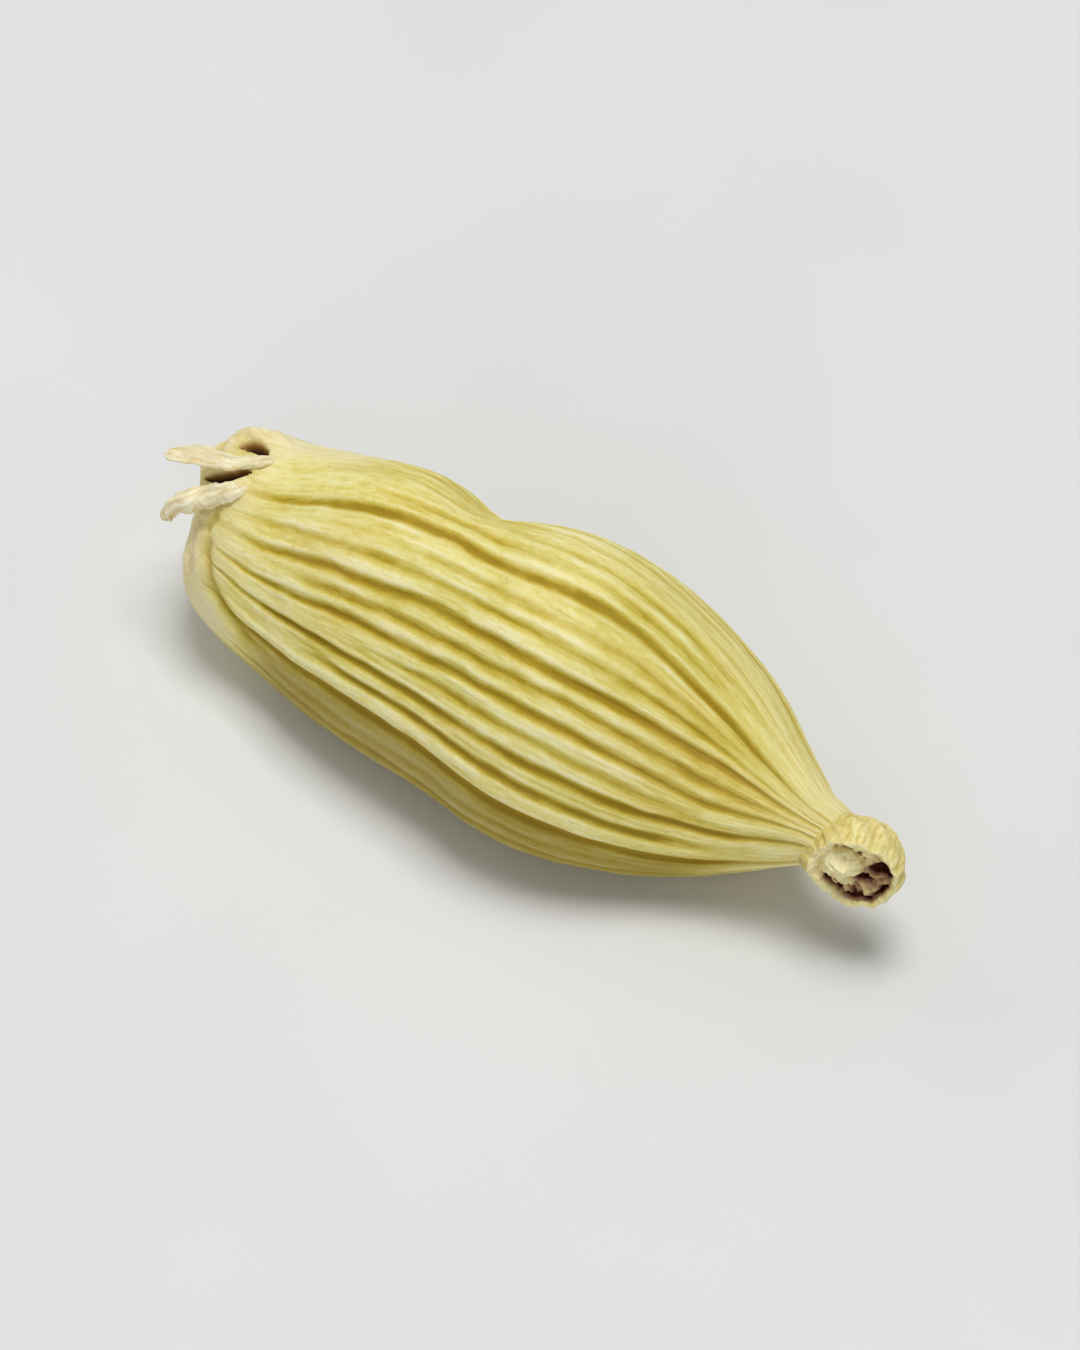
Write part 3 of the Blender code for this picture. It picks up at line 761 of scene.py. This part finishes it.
def collar_mesh():
    columns, outer, inner = 264, 86, 84
    theta = np.arange(columns) * 2 * math.pi / columns
    rim_wave = 0.050 * noise(theta * 5 / (2 * math.pi) * 1.0 + 0.0, 0 * theta + 0.5, 999, 301)
    # noise along theta repeats because it is read round a circle
    cx, cy = np.cos(theta), np.sin(theta)
    wobble = 0.030 * noise(cx * 1.6 + 9, cy * 1.6 + 9, 999, 302) + 0.012 * noise(cx * 5 + 9, cy * 5 + 9, 999, 303)
    rim_high = 0.055 * noise(cx * 2.3 + 9, cy * 2.3 + 9, 999, 304) + 0.022 * noise(cx * 7 + 9, cy * 7 + 9, 999, 305)
    thick = 0.105 * (1 + 0.25 * noise(cx * 3.1 + 9, cy * 3.1 + 9, 999, 306))
    mouth = CUP_MOUTH + rim_high
    rows, hollow, seam, pith = [], [], [], []
    top = math.asin(CUP_MOUTH / CUP_RADIUS)
    lat = np.linspace(-math.pi / 2 + 0.01, top, outer)
    for k, a in enumerate(lat):
        up = (a + math.pi / 2) / (top + math.pi / 2)
        r = CUP_RADIUS * math.cos(a) * (1 + wobble * smooth(0.25, 0.8, up))
        # Its fibres run from the neck round the bend to the rim.
        spot = np.stack([math.cos(a) * cx, math.cos(a) * cy, math.sin(a) + 0 * cx], -1)
        bend = np.arctan2((spot - NECK_WAY) @ BEND_AXES[0], (spot - NECK_WAY) @ BEND_AXES[1])
        folds = 0.0 * theta
        for at, deep, wide, start in FOLDS:
            off = bend - at + 0.07 * noise(up * 4 + start, 0 * theta + 0.5, 999, 309)
            off = abs(np.arctan2(np.sin(off), np.cos(off))) / wide
            folds = np.maximum(folds, deep * np.exp(-(off**1.4)))
        rough = 0.030 * noise(cx * 4 + 3 * up + 19, cy * 4 + 6 * up, 999, 312) + 0.012 * noise(cx * 12 + 9 * up + 19, cy * 12 + 14 * up, 999, 313)
        # Towards the neck it narrows to a stalk instead of closing as a ball.
        toward = spot @ NECK_WAY
        girth = CUP_RADIUS * np.sqrt(np.maximum(1.0 - toward**2, 1e-4))
        stalk = np.where(toward > 0, (girth**8 + 0.79**8) ** 0.125 / girth, 1.0)
        stalk = np.minimum(stalk, np.maximum(1.50 / (CUP_RADIUS * np.maximum(toward, 0.05)), 1.0))
        scale = stalk * (1.0 - 0.075 * folds * (1.0 - 0.5 * smooth(0.88, 1.0, up)))
        r = (r + rough * smooth(0.1, 0.5, up)) * scale
        z = CUP_RADIUS * math.sin(a) * scale + rim_high * smooth(0.75, 1.0, up)
        rows.append((r * cx, r * cy, z + 0 * theta))
        hollow.append(0 * theta)
        pith.append(0 * theta)
        seam.append(np.clip(0.75 * folds + 0.70 * smooth(0.30, 0.85, toward), 0, 1) * (1.0 - 0.7 * smooth(0.90, 1.0, up)))
    edge = np.hypot(rows[-1][0], rows[-1][1])
    for k in range(1, 13):
        a = math.pi * k / 13
        r = edge - thick / 2 * (1 - math.cos(a))
        z = rows[outer - 1][2] + 0.045 * math.sin(a)
        rows.append((r * cx, r * cy, z))
        hollow.append(0 * theta)
        seam.append(0 * theta)
        # The rim's top is painted paler: partly its own cream, partly painted highlight.
        pith.append(0.5 * math.sin(a) + 0 * theta)
    lip = np.hypot(rows[-1][0], rows[-1][1])
    lip_z = rows[-1][2]
    for k in range(1, inner + 1):
        s = k / inner
        r = lip * (1 - s) ** 0.85
        u, w = r * cx, r * cy
        wu = u + 0.060 * noise(u * 5 + 9, w * 5 + 9, 999, 330) + 0.028 * noise(u * 13 + 9, w * 13 + 9, 999, 331)
        ww = w + 0.060 * noise(u * 5 + 9, w * 5 + 9, 999, 340) + 0.028 * noise(u * 13 + 9, w * 13 + 9, 999, 341)
        wall = smooth(0.0, 0.13, (lip - r))
        floor = -0.13 + 0.03 * noise(u * 3 + 9, w * 3 + 9, 999, 320) + 0.060 * noise(u * 7 + 9, w * 8 + 9, 999, 321) + 0.034 * noise(u * 16 + 9, w * 18 + 9, 999, 322)
        for (pu, pw, ru, rw, turn, tall) in PITH:
            du, dw = (wu - pu) * math.cos(turn) + (ww - pw) * math.sin(turn), -(wu - pu) * math.sin(turn) + (ww - pw) * math.cos(turn)
            floor = floor + tall * np.exp(-((du / ru) ** 2 + (dw / rw) ** 2) ** (1.0 if tall > 0 else 1.4))
        ring_pit = -0.04 * np.exp(-(((lip - r) - 0.14) / 0.06) ** 2)
        z = lip_z * (1 - wall) + (CUP_MOUTH + floor + ring_pit) * wall
        rows.append((u, w, z))
        seam.append(0 * theta)
        # Whiter on the shallow lumps: partly the pith's own cream, partly painted light in the shaded hollow.
        pith.append(smooth(0.16, 0.0, CUP_MOUTH - z) * smooth(-0.35, 0.05, u))
        flesh = 0.34 * smooth(0.12, -0.30, u) * (1 - 0.5 * smooth(0.10, 0.02, CUP_MOUTH - z)) + 0.20 * smooth(0.25, 0.55, w)
        # Browner the deeper in the hollow: partly the brown remains inside, partly painted shade.
        hollow.append(np.clip(smooth(0.08, 0.36, CUP_MOUTH - z) + flesh, 0, 1) * smooth(0.0, 0.07, lip - r))
    grid = np.stack([np.stack(r, -1) for r in rows])
    hollow, seam, pith = np.stack(hollow), np.stack(seam), np.stack(pith)
    world = cup_centre + grid @ cup_axes
    fib = np.stack([grid[..., 2] * 1.0, grid[..., 0], grid[..., 1]], -1)
    return world, hollow, seam, pith, fib


grid, hollow, seam, pith, fib = collar_mesh()
points = with_poles(grid, grid[0].mean(0), grid[-1].mean(0))
count, columns = len(points), grid.shape[1]
ring = np.arange(columns)
faces = [
    grid_faces(grid.shape[0], columns, True, 1),
    np.stack([np.zeros(columns, int), (ring + 1) % columns + 1, ring + 1], -1),
    np.stack([np.full(columns, count - 1), ring + count - 1 - columns, (ring + 1) % columns + count - 1 - columns], -1),
]
cup = make_mesh(
    "collar_cup",
    points,
    outward(points, faces),
    {"hollow": as_attribute(hollow), "seam": as_attribute(seam), "pith": as_attribute(pith), "fibre": as_attribute(fib)},
    collar,
)


# ---- the papery tags -------------------------------------------------------------------------
def spline(values, t):
    """Points or numbers along a smooth line through the values; t from 0 to 1."""
    values = np.asarray(values, float)
    flat = values.reshape(len(values), -1)
    knots = np.arange(len(values), dtype=float)
    cols = [curve(np.stack([knots, flat[:, k]], -1), t * (len(values) - 1)) for k in range(flat.shape[1])]
    return np.stack(cols, -1).reshape(len(t), *values.shape[1:])


def tag(name, path, widths, thicknesses, spin, curl, crumple, torn, seed, material):
    """A crumpled strip of dry skin along a path, with a torn end."""
    rows, around = 120, 56
    t = np.linspace(0.0, 1.0, rows)
    centre, up = spline(path[0], t), spline(path[1], t)
    half = spline([(w,) for w in widths], t)[:, 0] / 2
    deep = spline([(w,) for w in thicknesses], t)[:, 0] / 2
    tangent = np.gradient(centre, axis=0)
    tangent /= np.linalg.norm(tangent, axis=1, keepdims=True)
    across = np.cross(up, tangent)
    across /= np.linalg.norm(across, axis=1, keepdims=True)
    up = np.cross(tangent, across)
    roll = (spin * smooth(0.3, 1.0, t))[:, None]
    across, up = across * np.cos(roll) + up * np.sin(roll), up * np.cos(roll) - across * np.sin(roll)
    phi = np.arange(around) * 2 * math.pi / around
    cosine, sine = np.cos(phi), np.sin(phi)
    flatter = np.sign(sine) * abs(sine) ** 0.75
    length = np.linalg.norm(np.diff(centre, axis=0), axis=1).sum()
    s = (t * length)[:, None]
    edge = half[:, None] * (1 + 0.17 * noise(s / 0.28, 0 * s + cosine[None] * 0.9 + 9, 999, seed) + 0.10 * noise(s / 0.09, 0 * s + cosine[None] * 2 + 9, 999, seed + 1))
    wave = crumple * (noise(s / 0.45, cosine[None] * 0.8 + 9, 999, seed + 2) + 0.5 * noise(s / 0.18, cosine[None] * 1.8 + 9, 999, seed + 3))
    ripple = 0.026 * noise(s / 0.5, cosine[None] * 6 + 19, 999, seed + 4)
    x = edge * cosine[None]
    y = deep[:, None] * (1 + 0.20 * noise(s / 0.3, cosine[None] * 3 + 9, 999, seed + 5)) * flatter[None] + curl * (cosine[None] ** 2 - 0.35) * half[:, None] + wave + ripple
    slide = torn * (noise(0 * s + 5, cosine[None] * 2.6 + 9, 999, seed + 6) + 0.5 * noise(0 * s + 5, cosine[None] * 7 + 9, 999, seed + 7)) * smooth(0.7, 1.0, t)[:, None]
    taper = np.sqrt(np.maximum(1 - smooth(0.93, 1.0, t) ** 2 * 0.995, 0.0025))[:, None]
    grid = (
        centre[:, None, :]
        + tangent[:, None, :] * slide[..., None]
        + across[:, None, :] * (x * taper)[..., None]
        + up[:, None, :] * (y * taper)[..., None]
    )
    hollow = np.clip(smooth(0.9, 0.0, s * 2.2) * 0.25 + 0 * cosine[None], 0, 1)
    seam = smooth(0.50, 0.10, s) * 0.3 + 0.35 * np.clip(noise(s / 0.6, cosine[None] * 3.2 + 9, 999, seed + 8), 0, 1)
    fib = np.stack([s + 0 * cosine[None], x + 0 * s, y], -1)
    points = with_poles(grid, grid[0].mean(0), grid[-1].mean(0))
    count = len(points)
    ring = np.arange(around)
    faces = [
        grid_faces(rows, around, True, 1),
        np.stack([np.zeros(around, int), (ring + 1) % around + 1, ring + 1], -1),
        np.stack([np.full(around, count - 1), ring + count - 1 - around, (ring + 1) % around + count - 1 - around], -1),
    ]
    return make_mesh(
        name, points, outward(points, faces), {"hollow": as_attribute(hollow), "seam": as_attribute(seam), "fibre": as_attribute(fib)}, material
    )


tags = [
    tag(
        "tag_flap",
        flap_path,
        (0.26, 0.32, 0.36, 0.40, 0.50, 0.50, 0.30),
        (0.16, 0.18, 0.20, 0.17, 0.13, 0.10, 0.07),
        0.45, 0.24, 0.040, 0.08, 611, paper,
    ),
    tag(
        "tag_lip",
        lip_path,
        (0.34, 0.48, 0.56, 0.60, 0.54, 0.46, 0.36, 0.22),
        (0.18, 0.24, 0.30, 0.32, 0.29, 0.24, 0.18, 0.10),
        -0.40, -0.12, 0.040, 0.05, 621, paper,
    ),
]

for piece in (pod, cup, *tags):
    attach(piece, "root")
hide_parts("cardamom_pod")

# ---- floor, light and camera -----------------------------------------------------------------
floor_nodes = Nodes("floor_pale")
place = floor_nodes.add("ShaderNodeTexCoord").outputs["Object"]
mottle = floor_nodes.noise(place, 60.0, 3.0)
floor_material = floor_nodes.finish(
    floor_nodes.ramp(mottle, [(0.3, linear(222, 223, 223)), (0.7, linear(226, 227, 227))]),
    floor_nodes.remap(mottle, 0.3, 0.7, 0.60, 0.66),
    floor_nodes.bump(mottle, 0.00001, 0.2),
    0.2,
)
floor_mesh = bpy.data.meshes.new("floor")
floor_mesh.from_pydata([(-2, -2, -0.00002), (2, -2, -0.00002), (2, 2, -0.00002), (-2, 2, -0.00002)], [], [(0, 1, 2, 3)])
floor_mesh.materials.append(floor_material)
floor = bpy.data.objects.new("floor", floor_mesh)
bpy.context.scene.collection.objects.link(floor)

world = bpy.data.worlds.new("soft_room")
world.use_nodes = True
world.node_tree.nodes["Background"].inputs["Color"].default_value = (0.86, 0.88, 0.90, 1.0)
world.node_tree.nodes["Background"].inputs["Strength"].default_value = 0.28
bpy.context.scene.world = world

CENTRE = Vector((0.0, 0.0, 0.0030))


def lamp(name, direction, distance, size, power, colour):
    light = bpy.data.lights.new(name, "AREA")
    light.shape, light.size, light.size_y = "RECTANGLE", size[0], size[1]
    light.energy, light.color = power, colour
    obj = bpy.data.objects.new(name, light)
    direction = Vector(direction).normalized()
    obj.location = CENTRE + direction * distance
    obj.rotation_mode = "QUATERNION"
    obj.rotation_quaternion = direction.to_track_quat("Z", "Y")
    bpy.context.scene.collection.objects.link(obj)
    return obj


lamp("key", (0.05, 0.10, 0.98), 0.50, (0.24, 0.24), 1.68, (1.0, 0.99, 0.97))
lamp("fill", (0.50, -0.80, 0.45), 0.60, (0.50, 0.40), 0.72, (0.97, 0.985, 1.0))
lamp("side", (-0.85, 0.10, 0.50), 0.60, (0.40, 0.30), 0.55, (1.0, 0.99, 0.97))

AZIMUTH, ELEVATION, LENS, DISTANCE = math.radians(34.7), math.radians(50.0), 200.0, 0.170
camera = bpy.data.objects.new("camera", bpy.data.cameras.new("camera"))
camera.data.lens, camera.data.sensor_width = LENS, 36.0
camera.data.clip_start, camera.data.clip_end = 0.005, 20.0
back = Vector(
    (math.sin(AZIMUTH) * math.cos(ELEVATION), -math.cos(AZIMUTH) * math.cos(ELEVATION), math.sin(ELEVATION))
)
camera.location = CENTRE + back * DISTANCE
camera.rotation_mode = "QUATERNION"
camera.rotation_quaternion = (-back).to_track_quat("-Z", "Y")
bpy.context.scene.collection.objects.link(camera)
bpy.context.scene.camera = camera
bpy.context.scene.view_settings.view_transform = "Standard"
